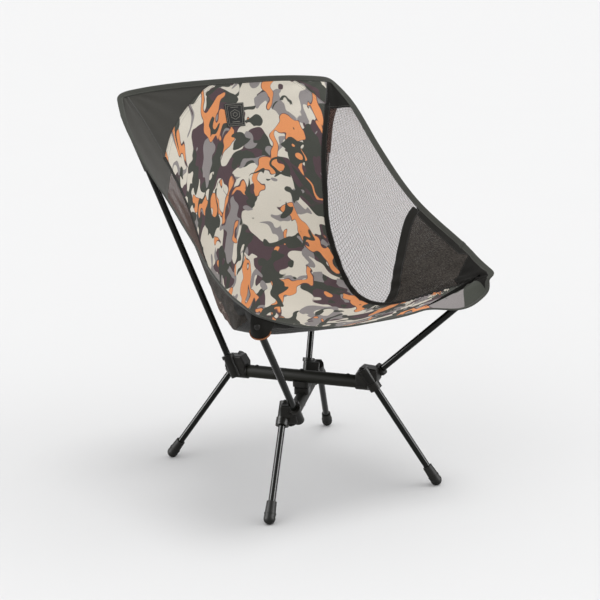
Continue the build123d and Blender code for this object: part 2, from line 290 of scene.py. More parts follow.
def moulded(name, colour, rough, grain=900, wear=0.35, spec=0.5):
    """Moulded plastic or rubber: fine grain, cloudy gloss, paler edges."""
    g = Graph(name)
    at = g.object()
    cloud = g.noise(at, 35, 3)
    speck = g.noise(at, grain, 2)
    edge = g.ramp(g.put("NewGeometry", out=7), 0.53, 0.62)
    worn = g.math("MULTIPLY", edge, g.ramp(g.noise(at, 160, 2), 0.4, 0.65, 0, wear))
    base = g.mix(g.ramp(cloud, 0.35, 0.65), tinted(colour, 0.92), tinted(colour, 1.08))
    g.set(Base_Color=g.mix(worn, base, tinted(colour, 1.9, 15)))
    g.set(Roughness=g.ramp(cloud, 0.3, 0.7, rough - 0.07, rough + 0.09))
    g.set(Normal=g.bump(speck, 0.00012, 0.6))
    g.shader.inputs["Specular IOR Level"].default_value = spec
    return g.material


def anodised(name, colour, rough, gloss):
    """Dark anodised tube: satin, with faint handling marks."""
    g = Graph(name)
    at = g.object()
    cloud = g.noise(at, 22, 3)
    mark = g.noise(g.mapped(at, scale=(1, 1, 0.12)), 420, 3, 0.6)
    rub = g.ramp(g.noise(g.mapped(at, scale=(1, 1, 0.25)), 90, 4, 0.7), 0.66, 0.74, 0, 0.25)
    g.set(Base_Color=g.mix(rub, srgb(*colour), tinted(colour, 1.5, 8)))
    g.set(Roughness=g.ramp(cloud, 0.3, 0.7, rough - 0.05, rough + 0.08))
    g.set(Normal=g.bump(mark, 0.00001, 0.3))
    g.shader.inputs["Specular IOR Level"].default_value = gloss
    return g.material


def ribbed_tape(name, colour, pitch=0.0011, spread=0.18):
    """Woven tape with fine ribs across it."""
    g = Graph(name)
    uv = g.uv()
    ribs = g.stripes(uv, pitch, 1)
    cross = g.stripes(uv, 0.0008, 0)
    cloud = g.noise(uv, 30, 3)
    shade = g.math("MULTIPLY_ADD", ribs, spread, 1 - spread / 2)
    shade = g.math("MULTIPLY", shade, g.ramp(cloud, 0.3, 0.7, 0.88, 1.1))
    g.set(Base_Color=g.shaded(srgb(*colour), shade), Roughness=g.ramp(cloud, 0.3, 0.7, 0.74, 0.88))
    normal = g.bump(cloud, 0.0012, 0.4)
    normal = g.bump(g.math("MULTIPLY_ADD", cross, 0.3, ribs), 0.00016, 0.7, normal)
    g.set(Normal=normal)
    g.shader.inputs["Sheen Weight"].default_value = 0.1
    g.shader.inputs["Specular IOR Level"].default_value = 0.08
    return g.material


def thread(name, colour):
    """Twisted sewing thread."""
    g = Graph(name)
    twist = g.noise(g.mapped(g.object(), turn=30, scale=(1, 3, 1)), 1500, 1)
    g.set(Base_Color=g.mix(twist, tinted(colour, 0.75), tinted(colour, 1.2)))
    g.set(Roughness=g.ramp(twist, 0, 1, 0.6, 0.8), Normal=g.bump(twist, 0.0001, 0.5))
    g.shader.inputs["Sheen Weight"].default_value = 0.1
    return g.material


def floor_material():
    g = Graph("floor_paper")
    at = g.object()
    g.set(Base_Color=g.mix(g.noise(at, 3, 2), (0.674, 0.674, 0.674), (0.680, 0.680, 0.680)))
    g.set(Roughness=g.ramp(g.noise(at, 40, 2), 0, 1, 0.9, 1))
    g.shader.inputs["Specular IOR Level"].default_value = 0.0
    return g.material


POLE = anodised("anodised_pole", (14, 15, 12), 0.12, 0.15)
BAR = anodised("anodised_bar", (30, 30, 25), 0.48, 0.10)
HUB = moulded("hub_plastic", (20, 19, 16), 0.36, wear=0.2, spec=0.14)
BOOT = moulded("boot_rubber", (26, 26, 24), 0.5, grain=1200, wear=0.2, spec=0.14)
TIP = moulded("tip_plastic", (30, 29, 27), 0.5, spec=0.15)
FASTENER = anodised("black_fastener", (30, 30, 29), 0.3, 0.2)
WASHER = moulded("nylon_washer", (60, 58, 54), 0.5, wear=0.1)
CORD = plain_cloth("shock_cord", (52, 52, 50), 0.0005)
CAMO = camouflage("camouflage_fabric")
LINING = plain_cloth("sling_reverse", (34, 33, 30), rough=0.72, crumple=0.8)
CHARCOAL = plain_cloth("charcoal_fabric", (62, 61, 57))
CHARCOAL_BACK = plain_cloth("charcoal_reverse", (54, 53, 49))
BLACK = plain_cloth("black_fabric", (19, 18, 15), sheen=0.04)
COARSE_THREADS = ((0.0017, 0.0005, 0.27), (0.0051, 0.0006, 0.50))
FINE_THREADS = ((0.0013, 0.00098, 1.0),)
COARSE = netting("coarse_mesh", (96, 74, 68), COARSE_THREADS, soft=0.0002, least=0.20)
FINE = netting("fine_mesh", (62, 58, 54), FINE_THREADS, speckle=0.45)
EDGE = ribbed_tape("edge_tape", (62, 63, 58))
SEAM_TAPE = ribbed_tape("seam_tape", (24, 23, 19), 0.0009)
AMBER = ribbed_tape("amber_tape", (140, 78, 26))
PATCH = plain_cloth("patch_fabric", (34, 34, 33), 0.0009, rough=0.7)
MARK = plain_cloth("patch_print", (120, 118, 110), 0.0009, rough=0.6)
RIB = plain_cloth("mesh_rib", (92, 80, 75), 0.0004)
THREAD = thread("sewing_thread", (84, 84, 78))
DARK_THREAD = thread("dark_thread", (40, 39, 36))

BY_ENDING = {
    ("_leg", "upright", "ferrule"): POLE,
    ("crossbar",): BAR,
    ("_hub", "_saddle"): HUB,
    ("_foot",): BOOT,
    ("_tip",): TIP,
    ("_rivets", "bolt", "nut"): FASTENER,
    ("washer",): WASHER,
    ("_cord",): CORD,
}


def paint_frame():
    """Give each of the frame's CAD nodes its material, by how its name ends."""
    for node, obj in NODES.items():
        for endings, material in BY_ENDING.items():
            if node.endswith(endings):
                obj.data.materials.clear()
                obj.data.materials.append(material)


# ---------------------------------------------------------------- the seat's surface

# rear to front, in millimetres: centre line, seam and rim of the left half, and how late the sling rises
STATIONS = [
    ((0, 238, 661), (200, 242, 651), (211, 243, 647), 3),
    ((0, 227, 604), (179, 214, 604), (223, 190, 606), 2),
    ((0, 208, 530), (151, 180, 530), (222, 110, 543), 2),
    ((0, 184, 462), (134, 148, 462), (218, 34, 493), 2),
    ((0, 153, 390), (124, 117, 388), (218, -26, 458), 2),
    ((0, 93, 306), (127, 62, 310), (222, -78, 433), 2),
    ((0, 30, 271), (133, 6, 286), (226, -122, 414), 2),
    ((0, -40, 269), (151, -54, 292), (227, -160, 399), 3),
    ((0, -126, 291), (180, -132, 323), (224, -202, 383), 2.5),
    ((0, -221, 318), (208, -239, 365), (219, -245, 372), 2.3),
]
CENTRE, SEAM, RIM = (np.array([s[k] for s in STATIONS], float) * MM for k in range(3))
RISE = np.array([[s[3]] for s in STATIONS], float)
LAST = len(STATIONS) - 1
WING_BULGE = 1 * MM
# where panels meet, as v at the seam and at the rim, or as u on the top edge and v on the seam
REAR_GUSSET = {"left": 0.11, "right": 0.26}
GUSSET_SLANT = {"left": 0.0, "right": 0.09}
FRONT_GUSSET = (0.945, 0.82)
MESH_SPLIT = (0.75, 0.465)
CORNER_REACH = {-1: (0.15, 0.20), 1: (0.60, 0.10)}
# a rough size of half the sling, for the folds' own scale
HALF_WIDE, LONG = 0.17, 0.73


def unit(v):
    return v / np.maximum(np.linalg.norm(v, axis=-1, keepdims=True), 1e-12)


def step(low, high, x):
    t = np.clip((x - low) / (high - low), 0, 1)
    return t * t * (3 - 2 * t)


def curve(points, t):
    """Points of a Catmull-Rom curve, which runs straight on past its ends."""
    t = np.asarray(t, float)
    inside = np.clip(t, 0, LAST)
    i = np.clip(np.floor(inside).astype(int), 0, LAST - 1)
    f = (inside - i)[..., None]
    a, b, c, d = (points[np.clip(i + k, 0, LAST)] for k in (-1, 0, 1, 2))
    q = 2 * b + (c - a) * f + (2 * a - 5 * b + 4 * c - d) * f**2 + (3 * (b - c) + d - a) * f**3
    over = (t - inside)[..., None]
    ends = np.where(over < 0, points[1] - points[0], points[LAST] - points[LAST - 1])
    return q / 2 + ends * over


def wing_width(v):
    return np.linalg.norm(curve(RIM, v * LAST) - curve(SEAM, v * LAST), axis=-1)


def surface(u, v):
    """The taut seat: u is 0 in the middle, 1 at the left seam, 2 at the left rim and negative on the right;
    v runs from 0 at the rear to 1 at the front."""
    u, v = np.broadcast_arrays(np.asarray(u, float), np.asarray(v, float))
    side, a, t = np.where(u < 0, -1.0, 1.0), np.abs(u), v * LAST
    seam, middle, rim = curve(SEAM, t), curve(CENTRE, t), curve(RIM, t)
    inner = np.minimum(a, 1)[..., None]
    share = inner ** curve(RISE, t)
    sling = middle + (seam - middle) * share
    sling[..., 0] = seam[..., 0] * inner[..., 0]
    w = np.maximum(a - 1, 0)[..., None]
    across = rim - seam
    out = unit(np.stack([across[..., 2] + np.abs(across[..., 1]), 0 * a, -across[..., 0]], -1))
    bulge = WING_BULGE * 4 * w * (1 - w) * np.sin(np.pi * np.clip(v, 0, 1))[..., None]
    p = np.where(a[..., None] <= 1, sling, seam + across * w + out * bulge)
    p[..., 0] *= side
    return p


def normal(u, v):
    """Unit normal on the sitter's side."""
    d = 0.004
    return unit(np.cross(surface(u, v + d) - surface(u, v - d), surface(u + d, v) - surface(u - d, v)))


def ripple(x, y, seed):
    """Smooth unevenness between -1 and 1, the same every time."""
    rng = np.random.default_rng(seed)
    total = np.zeros(np.broadcast(x, y).shape)
    for _ in range(9):
        turn, length, phase = rng.uniform(0, np.pi), rng.uniform(0.045, 0.16), rng.uniform(0, 6.3)
        total = total + np.sin((x * math.cos(turn) + y * math.sin(turn)) * 6.28 / length + phase)
    return total / 4.2


def folds(u, v):
    """Height of the cloth's creases over the taut surface, in metres."""
    u, v = np.broadcast_arrays(np.asarray(u, float), np.asarray(v, float))
    a = np.abs(u)
    x, y = u * HALF_WIDE, v * LONG
    side = np.where(u < 0, 1.7, 0.0)
    h = 0.7 * MM * ripple(x, y, 4) * np.clip(2.6 - a, 0, 1)
    # the front lip is pulled between its two pockets
    squeeze = 0.30 + 0.70 * (1 - np.minimum(a, 1) ** 2)
    lip = (1 - v) * LONG / squeeze
    wave = np.sin(lip * 6.28 / 0.026 + 1.1 * np.sin(x * 21 + side) + side) * (1 - step(0.965, 0.995, v))
    h = h + 1.9 * MM * wave * step(0.80, 0.90, v) * step(0.1, 0.75, a) * (1 - step(1.0, 1.6, a))
    h = h + 0.9 * MM * wave * step(0.86, 0.93, v) * (1 - step(0.0, 0.5, a))
    # rays from the two rear corners
    dx, dy = (1.02 - np.minimum(a, 1.02)) * 0.19, v * 0.62 + 0.004
    reach = np.hypot(dx, dy)
    ray = np.sin(np.arctan2(dy, dx) * 13 + side + 9 * reach)
    h = h + 1.1 * MM * ray * step(0.015, 0.05, reach) * np.exp(-reach / 0.11) * (1 - step(0.95, 1.0, a))
    # creases where back turns into seat, near the seams
    bend = np.exp(-(((v - 0.55) / 0.10) ** 2)) * step(0.45, 0.95, a) * (1 - step(0.995, 1.25, a))
    h = h + 1.2 * MM * bend * np.sin((y + 0.5 * a * HALF_WIDE) * 6.28 / 0.033 + side)
    # wings: long soft pulls towards the front pocket, and shorter waves across them
    w = np.clip(a - 1, 0, 1)
    loose = w * (1 - w) * 4 * (a > 1)
    pull = np.sin(w * 11 + 4 * v + side) * loose
    h = h + (0.6 + 2.0 * step(0.45, 0.9, v)) * MM * pull * (1 - step(0.95, 0.99, v))
    h = h + 1.0 * MM * np.sin((y - w * 0.09) * 6.28 / 0.05 + side) * loose * step(0.5, 0.7, v)
    return h * step(-0.002, 0.03, v)


def curl(u, v):
    """How far the left front corner's edge hangs down over the pole's end."""
    u, v = np.broadcast_arrays(np.asarray(u, float), np.asarray(v, float))
    fall = 24 * MM * step(0.45, 0.85, u) * (1 - step(0.86, 1.3, u)) * step(0.978, 1.0, v)
    return np.stack([0 * fall, -0.45 * fall, -fall], -1)


def cloth(u, v, lift=0.0):
    return surface(u, v) + curl(u, v) + normal(u, v) * (folds(u, v) + lift)[..., None]


def on_cloth(u, v, lift=0.0):
    """Points and normals along a line of the seat."""
    return cloth(u, v, lift), normal(u, v)


# ---------------------------------------------------------------- mesh helpers


def mesh_object(name, points, faces, uv, materials, which=None):
    mesh = bpy.data.meshes.new(name)
    mesh.from_pydata(points.tolist(), [], faces if isinstance(faces, list) else faces.tolist())
    layer = mesh.uv_layers.new(name="cloth")
    corner = np.zeros(len(mesh.loops), np.int32)
    mesh.loops.foreach_get("vertex_index", corner)
    layer.data.foreach_set("uv", np.asarray(uv, np.float32)[corner].ravel())
    for material in materials:
        mesh.materials.append(material)
    if which is not None:
        mesh.polygons.foreach_set("material_index", np.asarray(which, np.int32))
    mesh.polygons.foreach_set("use_smooth", np.ones(len(mesh.polygons), bool))
    mesh.update()
    return add_object(name, mesh)


def on_seat(obj, stands_for=()):
    """Let a piece ride on the seat, and hide the CAD nodes that it stands for."""
    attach(obj, "seat")
    if stands_for:
        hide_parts(*stands_for)
    return obj


def run_along(points):
    """Length from a line's first point to each of its points."""
    return np.concatenate([[0], np.cumsum(np.linalg.norm(np.diff(points, axis=0), axis=1))])


def metric(points):
    """Lengths along a grid's two directions, measured from the middle line."""
    across = np.linalg.norm(np.diff(points, axis=0), axis=2)
    along = np.linalg.norm(np.diff(points, axis=1), axis=2)
    x = np.concatenate([np.zeros((1, points.shape[1])), np.cumsum(across, 0)])
    x -= x[len(x) // 2]
    y = np.concatenate([np.zeros((points.shape[0], 1)), np.cumsum(along, 1)], 1)
    y = np.broadcast_to(y[len(y) // 2], x.shape)
    return np.stack([x, y], -1)


def quads(n, m):
    """The faces of a grid of n by m points."""
    i, j = np.meshgrid(np.arange(n - 1), np.arange(m - 1), indexing="ij")
    a = (i * m + j).ravel()
    return np.stack([a, a + m, a + m + 1, a + 1], 1)


def grid_edge(n, m):
    """The points round a grid's outside, in order."""
    row, column = np.arange(m - 1), m * np.arange(n - 1)
    return np.concatenate([row, m - 1 + column, (n * m - 1) - row, (n * m - m) - column])


def shell(name, points, normals, thick, materials, stands_for=(), uv=None):
    """A grid of points made into a closed sheet of that thickness, its first material on the normals' side."""
    n, m, _ = points.shape
    uv = metric(points) if uv is None else uv
    offset = normals * (thick / 2)
    vertices = np.concatenate([(points + offset).reshape(-1, 3), (points - offset).reshape(-1, 3)])
    front = quads(n, m)
    edge = grid_edge(n, m)
    following = np.roll(edge, -1)
    rim = np.stack([edge + n * m, following + n * m, following, edge], 1)
    a, b, d = (vertices[front[len(front) // 2, k]] for k in (0, 1, 3))
    if np.dot(np.cross(b - a, d - a), normals[n // 2, m // 2]) < 0:
        front, rim = front[:, ::-1], rim[:, ::-1]
    back = front[:, ::-1] + n * m
    which = np.concatenate([np.zeros(len(front)), np.full(len(back), len(materials) - 1), np.zeros(len(rim))])
    flat = np.concatenate([uv.reshape(-1, 2)] * 2)
    obj = mesh_object(name, vertices, np.concatenate([front, back, rim]), flat, materials, which)
    return on_seat(obj, stands_for)


def strip(name, lines, stands_for=(), thick=0.6 * MM, material=SEAM_TAPE):
    """A tape through several lines side by side, each given as its points and normals."""
    points, normals = (np.stack([line[k] for line in lines]) for k in (0, 1))
    return shell(name, points, normals, thick, [material], stands_for)


def even(line, pitch, *others, loop=False):
    """The line again with points a pitch apart, and what goes with its points."""
    if loop:
        line = np.concatenate([line, line[:1]])
        others = [np.concatenate([o, o[:1]]) for o in others]
    along = run_along(line)
    count = max(2, int(round(along[-1] / pitch)) + 1)
    at = np.linspace(0, along[-1], count)
    if loop:
        at = at[:-1]
    return [np.stack([np.interp(at, along, o[:, k]) for k in range(o.shape[1])], 1) for o in (line, *others)]


STITCH_SIDES = 6
# each ring's place along a stitch, and its size
STITCH_RINGS = ((-0.5, 0.45), (0.0, 1.0), (0.5, 0.45))


def stitch_row(line, normals, pitch=3.0 * MM, length=2.3 * MM, radius=0.32 * MM):
    """Vertices and faces of a row of sewn stitches along a line, a little sunk in the cloth."""
    line, normals = even(line, pitch, normals)
    tangent = unit(np.gradient(line, axis=0))
    side = unit(np.cross(normals, tangent))
    up = unit(np.cross(tangent, side))
    vertices = []
    for where, size in STITCH_RINGS:
        drop = up * (-0.55 * radius if where else 0.0)
        for turn in np.arange(STITCH_SIDES) * (2 * math.pi / STITCH_SIDES):
            offset = side * math.cos(turn) + up * (math.sin(turn) - 0.15)
            vertices.append(line + tangent * (where * length) + offset * (radius * size) + drop)
    each = len(vertices)
    vertices = np.stack(vertices, 1).reshape(-1, 3)
    one = [(0, 5, 4, 3), (0, 3, 2, 1), (12, 13, 14, 15), (12, 15, 16, 17)]
    for start in range(0, each - STITCH_SIDES, STITCH_SIDES):
        for s in range(STITCH_SIDES):
            t = (s + 1) % STITCH_SIDES
            one.append((start + s, start + t, start + STITCH_SIDES + t, start + STITCH_SIDES + s))
    faces = (np.array(one)[None] + (np.arange(len(line)) * each)[:, None, None]).reshape(-1, 4)
    return vertices, faces


def rib(line, normals, half_width, half_height):
    """Vertices and faces of a thin bar along a line, standing on the cloth."""
    side = unit(np.cross(normals, unit(np.gradient(line, axis=0))))
    corners = ((-1, -1), (1, -1), (1, 1), (-1, 1))
    ring = np.stack([line + side * half_width * a + normals * half_height * b for a, b in corners], 1)
    end = 4 * len(line) - 4
    faces = [(3, 2, 1, 0), (end, end + 1, end + 2, end + 3)]
    for k in range(0, end, 4):
        faces += [(k + a, k + (a + 1) % 4, k + 4 + (a + 1) % 4, k + 4 + a) for a in range(4)]
    return ring.reshape(-1, 3), np.array(faces)


def join_rows(name, rows, material):
    """One piece made of many rows of stitches or bars."""
    starts = np.cumsum([0] + [len(vertices) for vertices, _ in rows])
    vertices = np.concatenate([vertices for vertices, _ in rows])
    faces = np.concatenate([faces + start for (_, faces), start in zip(rows, starts)])
    return on_seat(mesh_object(name, vertices, faces, vertices[:, :2], [material]))


def sweep(name, line, normals, profile, material, stands_for, loop=False):
    """A closed profile (outward, up) carried along a line. normals point up."""
    tangent = unit(np.roll(line, -1, 0) - np.roll(line, 1, 0) if loop else np.gradient(line, axis=0))
    out = unit(np.cross(tangent, normals))
    up = unit(np.cross(out, tangent))
    ring = line[:, None] + out[:, None] * profile[None, :, :1] + up[:, None] * profile[None, :, 1:]
    if loop:
        line = np.concatenate([line, line[:1]])
        ring = np.concatenate([ring, ring[:1]])
    ring = np.concatenate([ring, ring[:, :1]], 1)
    around = run_along(np.concatenate([profile, profile[:1]]))
    uv = np.stack(np.meshgrid(run_along(line), around, indexing="ij"), -1)[..., ::-1]
    rows, columns = ring.shape[:2]
    faces = quads(rows, columns).tolist()
    if not loop:
        first = list(range(columns - 1))
        faces += [first, [(rows - 1) * columns + s for s in first][::-1]]
    obj = mesh_object(name, ring.reshape(-1, 3), faces, uv.reshape(-1, 2), [material])
    obj.data.validate()
    return on_seat(obj, stands_for)


def lozenge(half_width, half_thick, points=20, power=3.0):
    """A flat bar's outline with rounded sides."""
    turn = np.linspace(0, 2 * np.pi, points, endpoint=False)
    wave = np.stack([np.cos(turn), np.sin(turn)], 1)
    return np.sign(wave) * np.abs(wave) ** (2 / power) * (half_width, half_thick)


# ---------------------------------------------------------------- fabric panels

# kept: sheets and their flat sizes, the pieces that go with each, and rows of thread; the end of the script
# joins the rows
sheets, extras, rows = [], {}, {"grey": [], "dark": []}
CLOTH_THICK, NET_THICK = 0.7 * MM, 0.4 * MM


def region(place, across, along, lift=None):
    """Points and normals of a piece of the seat; place turns two numbers from 0 to 1 into (u, v)."""
    a, b = np.meshgrid(np.linspace(0, 1, across + 1), np.linspace(0, 1, along + 1), indexing="ij")
    u, v = np.broadcast_arrays(*place(a, b))
    return on_cloth(u, v, lift(a, b) if lift else np.zeros(u.shape))


def size_of(points):
    """Width, length and area of a panel laid flat, from its grid."""
    a, b = points[1:, :-1] - points[:-1, :-1], points[:-1, 1:] - points[:-1, :-1]
    area = np.linalg.norm(np.cross(a, b), axis=2).sum()
    width = np.linalg.norm(np.diff(points, axis=0), axis=2).sum(0).max()
    length = np.linalg.norm(np.diff(points, axis=1), axis=2).sum(1).max()
    width = min(width, 2 * area / length)
    return float(width), float(length), float(min(area, 0.999 * width * length))


def panel(
    name, place, grid, materials, node,
    lift=None, rests_on="edge_tape", thick=CLOTH_THICK, print_at=(0, 0),
):
    """A flat cut of cloth in its place on the seat, noted with its own flat size."""
    points, normals = region(place, *grid, lift)
    obj = shell(name, points, normals, thick, materials, [node], metric(points) + np.array(print_at))
    sheets.append((obj, *size_of(points), [rests_on]))
    extras[name] = []
    return points


def top_of_sling(u):
    """Where the sling starts, below the corner panels."""
    u = np.asarray(u, float)
    start, depth = (np.where(u < 0, CORNER_REACH[-1][k], CORNER_REACH[1][k]) for k in (0, 1))
    return np.maximum(0.0, (np.abs(u) - start) / (1 - start)) * depth


def split(u):
    """Where the coarse net meets the fine one."""
    w = u - 1
    at_seam, at_rim = MESH_SPLIT
    return at_rim + (at_seam - at_rim) * (1 - w) * (1 + 0.95 * w - 1.7 * w * w)


def front_edge(u):
    """Where the front gusset starts."""
    at_seam, at_rim = FRONT_GUSSET
    return at_seam + (at_rim - at_seam) * np.maximum(0, u - 1) ** 1.3


def rear_edge(side):
    """A function of u: where that side's rear gusset ends."""
    return lambda u: REAR_GUSSET[side] + GUSSET_SLANT[side] * (u - 1.4)


def sling_place(a, b):
    u = 2 * a - 1
    top = top_of_sling(u)
    return u, top + (1 - top) * b


def corner_place(sign):
    start = CORNER_REACH[sign][0]

    def place(a, b):
        u = sign * (start + 0.02 + (0.98 - start) * a)
        return u, (top_of_sling(u) + 0.008) * b

    return place


def wing_place(sign, low, high):
    """A part of a wing between two lines across it, each a function of u."""

    def place(a, b):
        u = 1 + a
        return sign * u, low(u) + (high(u) - low(u)) * b

    return place


def tucked(a, b):
    """A corner panel's far edge goes under the sling."""
    return -0.8 * MM * step(0.70, 0.92, b)


def sling_panels():
    panel("sling_cloth", sling_place, (150, 240), [CAMO, LINING], "seat_sling")
    panel("right_corner_cloth", corner_place(-1), (60, 40), [CHARCOAL, CHARCOAL_BACK],
          "right_corner_panel", tucked)
    panel("left_corner_cloth", corner_place(1), (50, 30), [CAMO, LINING],
          "left_corner_panel", tucked, print_at=(0.9, 0.4))
    for sign, (start, _) in CORNER_REACH.items():
        u = sign * np.linspace(start + 0.01, 0.985, 90)
        for past in (0.004, 0.012):
            rows["grey"].append(stitch_row(*on_cloth(u, top_of_sling(u) + past, 0.42 * MM)))


def wing_panels(side, sign):
    """A side's two nets, the coarse one's raised ribs and the two gussets."""
    rear = rear_edge(side)
    nets = wing_place(sign, rear, split), wing_place(sign, split, front_edge)
    at_rear = wing_place(sign, lambda u: 0 * u, lambda u: rear(u) + 0.006)
    at_front = wing_place(sign, lambda u: front_edge(u) - 0.004, lambda u: 0 * u + 1.0)
    points = panel(f"{side}_coarse_net", nets[0], (36, 110), [COARSE], f"{side}_side_mesh",
                   thick=NET_THICK)
    panel(f"{side}_fine_net", nets[1], (36, 90), [FINE], f"{side}_front_mesh", thick=NET_THICK)
    # both rear gussets are the same charcoal cloth; the left one's black cloth is painted shade, for where it
    # lies in shade
    panel(f"{side}_rear_gusset", at_rear, (24, 44), [BLACK if sign > 0 else CHARCOAL, CHARCOAL_BACK],
          "rear_gussets", lambda a, b: 0.5 * MM * step(0.85, 0.95, b), f"rear_{side}_tip")
    panel(f"{side}_front_gusset", at_front, (30, 30), [BLACK], "front_gussets",
          lambda a, b: 0.5 * MM * (1 - step(0.05, 0.15, b)), f"front_{side}_tip")
    pitch = COARSE_THREADS[1][0]
    count = int(np.linalg.norm(np.diff(points, axis=0), axis=2).sum(0).max() / pitch)
    ribs = []
    for u in 1 + np.arange(1, count) / count:
        ribs.append(rib(*on_cloth(sign * u, np.linspace(rear(u), split(u), 56)), 0.11 * MM, 0.3 * MM))
    extras[f"{side}_coarse_net"].append(join_rows(f"{side}_net_ribs", ribs, RIB))


# ---------------------------------------------------------------- tapes and their stitches

TAPE_LIFT = 0.6 * MM         # of the nets' tapes over the cloth
ON_TAPE = 0.98 * MM          # of the stitches on them
# lines along each tape, in millimetres across it
SEAM_TAPE_LINES = (-1.6, -0.8, 1.2, 3.6, 6.0, 8.0, 8.8)
NET_TAPE_LINES = (-8.2, -6.2, 0, 6.2, 8.2)
RIM_TAPE = (4, 12)           # millimetres: its depth at the ends and what it gains between them
RIM_TAPE_ENDS = (0.452, 0.825)


def seam_line(sign, offset, lift, low, high):
    """A line along a seam, offset across it in metres: inwards is negative."""
    v = np.linspace(low, high, 260)
    seam = curve(SEAM, v * LAST)
    u = 1 + (offset / seam[:, 0] if offset < 0 else offset / wing_width(v))
    return on_cloth(sign * u, v, lift)


def seam_tape(side, sign):
    """Tape over a seam on the sitter's side, and the seam's dark ridge behind it, by the rear gusset."""
    first = REAR_GUSSET["left"] - 0.01 if sign > 0 else 0.20
    lines = [seam_line(sign, offset * MM, 0.75 * MM, first, 0.97) for offset in SEAM_TAPE_LINES]
    extras[f"{side}_coarse_net"].append(strip(f"{side}_seam_tape", lines, ["seam_tapes"]))
    for offset in (-0.6, 7.6):
        rows["dark"].append(stitch_row(*seam_line(sign, offset * MM, 1.12 * MM, first, 0.965)))
    rows["dark"].append(rib(*seam_line(sign, -0.2 * MM, 0.3 * MM, 0.012, first), 0.55 * MM, 0.4 * MM))
    rows["dark"].append(stitch_row(*seam_line(sign, 2.2 * MM, 0.5 * MM, 0.012, first)))


def net_tape(side, sign):
    """Tape where the coarse net meets the fine net."""
    w = np.linspace(0.03, 0.96, 70)
    v = split(1 + w)
    wide = wing_width(v)
    near, far = (cloth(sign * (1 + w), v + d) for d in (-0.01, 0.01))
    long = np.linalg.norm(far - near, axis=1) / 0.02
    turn = np.arctan2(np.gradient(v) * long, np.gradient(w) * wide)

    def beside(offset, lift):
        """A line beside the nets' meeting line, offset in millimetres."""
        u = 1 + w - offset * MM * np.sin(turn) / wide
        return on_cloth(sign * u, v + offset * MM * np.cos(turn) / long, lift)

    lines = [beside(offset, TAPE_LIFT) for offset in NET_TAPE_LINES]
    extras[f"{side}_coarse_net"].append(strip(f"{side}_net_tape", lines, ["mesh_tapes"]))
    for offset in (-6.8, 6.8):
        rows["dark"].append(stitch_row(*beside(offset, ON_TAPE)))


def rim_tape(side, sign):
    """Tape inside the rim along the coarse net's front half, narrow at its ends."""
    low, high = RIM_TAPE_ENDS
    v = np.linspace(low, high, 110)
    wide = wing_width(v)
    depth = (RIM_TAPE[0] + RIM_TAPE[1] * step(0.45, 0.50, v) * (1 - step(0.77, high, v))) * MM
    lines = []
    for share in (0, 0.1, 0.5, 0.9, 1):
        lines.append(on_cloth(sign * (2 - (2 * MM + (depth - 2 * MM) * share) / wide), v, TAPE_LIFT))
    extras[f"{side}_coarse_net"].append(strip(f"{side}_rim_tape", lines))
    rows["dark"].append(stitch_row(*on_cloth(sign * (2 - (depth - 1.4 * MM) / wide), v, ON_TAPE)))


def gusset_stitches(side, sign):
    u = 1 + np.linspace(0.06, 0.95, 60)
    for v, colour in ((rear_edge(side)(u) + 0.001, "grey"), (front_edge(u), "dark")):
        rows[colour].append(stitch_row(*on_cloth(sign * u, v, 0.95 * MM)))


def softened(values):
    """A loop's values, each averaged with its neighbours."""
    kernel = np.exp(-0.5 * (np.arange(-6, 7) / 2.2) ** 2)
    kernel /= kernel.sum()
    return sum(k * np.roll(values, i - 6, axis=0) for i, k in enumerate(kernel))


def outward_of(line, up):
    return unit(np.cross(unit(np.roll(line, -1, 0) - np.roll(line, 1, 0)), up))


def edge_tape():
    """Folded tape round the whole seat, stitched through on both faces."""
    side_v, edge_u = np.linspace(0, 1, 300), np.linspace(-2, 2, 300)
    u = np.concatenate([0 * side_v + 2, edge_u[::-1], 0 * side_v - 2, edge_u])
    v = np.concatenate([side_v, 0 * edge_u + 1, side_v[::-1], 0 * edge_u])
    up = normal(np.clip(u, -1.97, 1.97), np.clip(v, 0.01, 0.99))
    line, up = even(cloth(u, v), 2.4 * MM, up, loop=True)
    line, up = softened(line), unit(softened(softened(up)))
    outward = outward_of(line, up)
    if ((outward * (line - line.mean(0))).sum(1) < 0).mean() > 0.5:
        line, up = line[::-1], up[::-1]
        outward = outward_of(line, up)
    outline = lozenge(5.2 * MM, 1.5 * MM)
    sweep("edge_tape", line + outward * 0.2 * MM, up, outline, EDGE, ["edge_binding"], loop=True)
    for face in (1, -1):
        sewn = line - outward * 3.1 * MM + up * face * 1.32 * MM
        rows["grey"].append(stitch_row(sewn, up * face, 3.4 * MM, 2.5 * MM, 0.36 * MM))


def edge_tape_lap():
    """Where the edge tape's two ends lap over each other."""
    v = np.linspace(0.738, 0.757, 12)
    line, up = cloth(2 + 0 * v, v), normal(1.97 + 0 * v, v)
    sweep("edge_tape_lap", line, up, lozenge(6.0 * MM, 2.1 * MM), EDGE, ["edge_binding"])


# ---------------------------------------------------------------- pockets over the pole ends

# in millimetres and degrees, as in the CAD
HUB_REACH, HUB_Z, BAR_DROP, UP_SIDE, BAR_ANGLE = 126.0, 185.2, 36.3, 11.25, 39
TIPS = {"front": (201.5, -229.0, 346.0), "rear": (206.3, 237.6, 620.0)}
# a front pouch's top seam, as (u, v): along the lip to the rim, back a little, and in again behind the lip
POUCH_SEAM = np.array([
    (0.50, 0.985), (0.62, 0.996), (0.80, 0.998), (0.97, 0.998), (1.2, 0.997), (1.6, 0.997), (1.93, 0.992),
    (1.93, 0.965), (1.75, 0.940), (1.35, 0.925), (1.0, 0.925), (0.85, 0.935), (0.68, 0.955), (0.55, 0.972),
])
